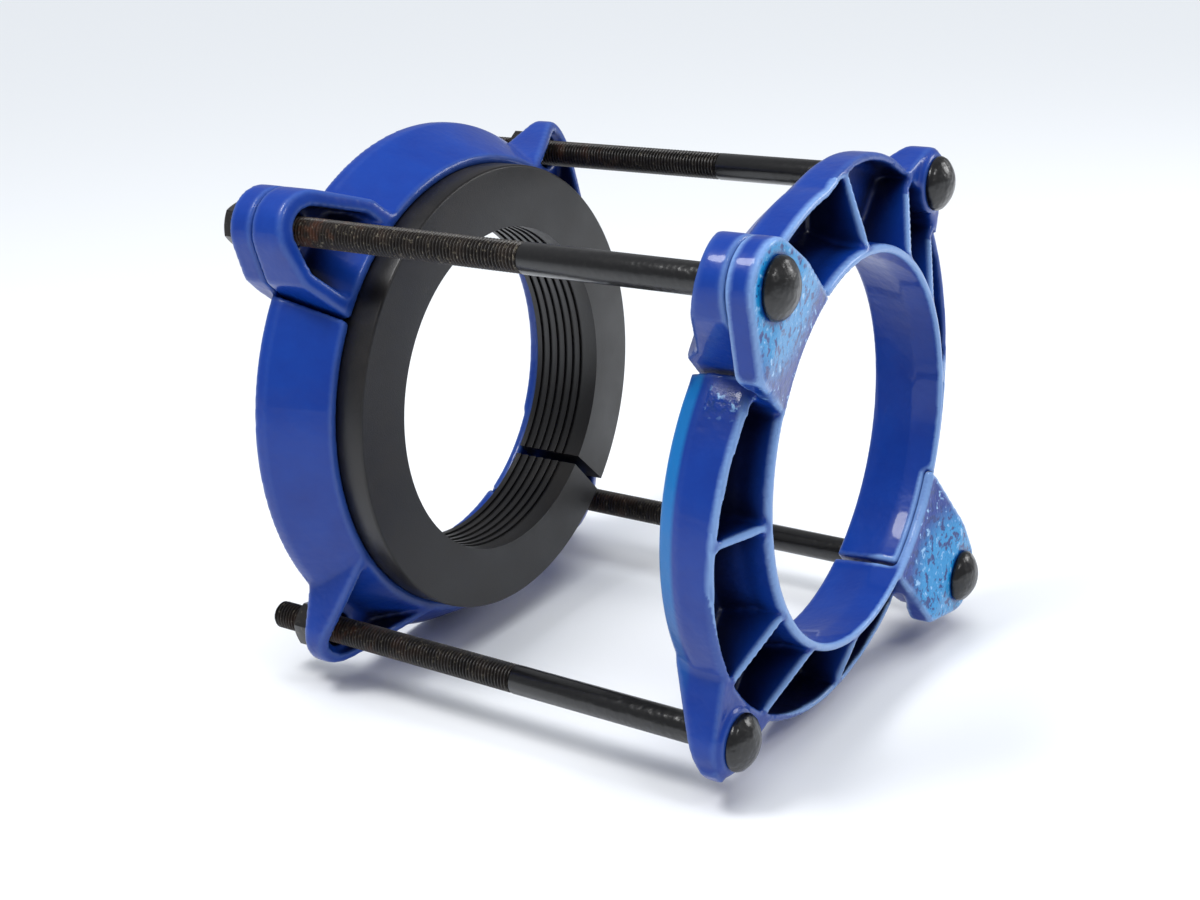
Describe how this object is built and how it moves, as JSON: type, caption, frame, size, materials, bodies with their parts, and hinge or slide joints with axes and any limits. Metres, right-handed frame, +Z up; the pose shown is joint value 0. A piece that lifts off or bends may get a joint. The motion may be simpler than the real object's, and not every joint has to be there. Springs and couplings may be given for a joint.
{
  "type": "pipe restraint",
  "caption": "Bell-joint pipe restraint: a split bell-side ring and a split wedge ring with a black grip ring, drawn together by long tie bolts",
  "frame": {"origin": "on the pipe's axis, in the outer face of the bell-side ring's lip", "axes": "+X along the pipe from the spigot side to the bell side, +Z up, with the ears at 45 degrees to it"},
  "size_m": [0.4049, 0.366, 0.366],
  "materials": {
    "blue_enamel": "glossy cobalt-blue coating over cast iron",
    "black_oxide_steel": "black oxide with light rust on the threads",
    "black_polymer": "satin moulded black"
  },
  "bodies": {
    "bell_ring": {"bell_ring_upper_half": "blue_enamel", "bell_ring_lower_half": "blue_enamel", "tie_bolt_upper_front": "black_oxide_steel", "tie_bolt_upper_rear": "black_oxide_steel", "tie_bolt_lower_front": "black_oxide_steel", "tie_bolt_lower_rear": "black_oxide_steel"},
    "spigot_ring": {"spigot_ring_upper_half": "blue_enamel", "spigot_ring_lower_half": "blue_enamel", "grip_ring": "black_polymer"},
    "nut_upper_front": {"hex_nut_upper_front": "black_oxide_steel"},
    "nut_upper_rear": {"hex_nut_upper_rear": "black_oxide_steel"},
    "nut_lower_front": {"hex_nut_lower_front": "black_oxide_steel"},
    "nut_lower_rear": {"hex_nut_lower_rear": "black_oxide_steel"}
  },
  "joints": [
    {"name": "spigot_slide", "type": "slide", "parent": "bell_ring", "child": "spigot_ring", "axis": [1, 0, 0], "range_m": [-0.004, 0.15]},
    {"name": "nut_turn_upper_front", "type": "hinge", "parent": "spigot_ring", "child": "nut_upper_front", "pos_m": [-0.35, -0.14001, 0.14001], "axis": [1, 0, 0], "range_deg": [-600, 21500]},
    {"name": "nut_turn_upper_rear", "type": "hinge", "parent": "spigot_ring", "child": "nut_upper_rear", "pos_m": [-0.35, 0.14001, 0.14001], "axis": [1, 0, 0], "range_deg": [-600, 21500]},
    {"name": "nut_turn_lower_front", "type": "hinge", "parent": "spigot_ring", "child": "nut_lower_front", "pos_m": [-0.35, -0.14001, -0.14001], "axis": [1, 0, 0], "range_deg": [-600, 21500]},
    {"name": "nut_turn_lower_rear", "type": "hinge", "parent": "spigot_ring", "child": "nut_lower_rear", "pos_m": [-0.35, 0.14001, -0.14001], "axis": [1, 0, 0], "range_deg": [-600, 21500]}
  ],
  "couplings": [
    {"joint": "nut_turn_upper_front", "follows": "spigot_slide", "rad_per_m": 2473.7},
    {"joint": "nut_turn_upper_rear", "follows": "spigot_slide", "rad_per_m": 2473.7},
    {"joint": "nut_turn_lower_front", "follows": "spigot_slide", "rad_per_m": 2473.7},
    {"joint": "nut_turn_lower_rear", "follows": "spigot_slide", "rad_per_m": 2473.7}
  ]
}
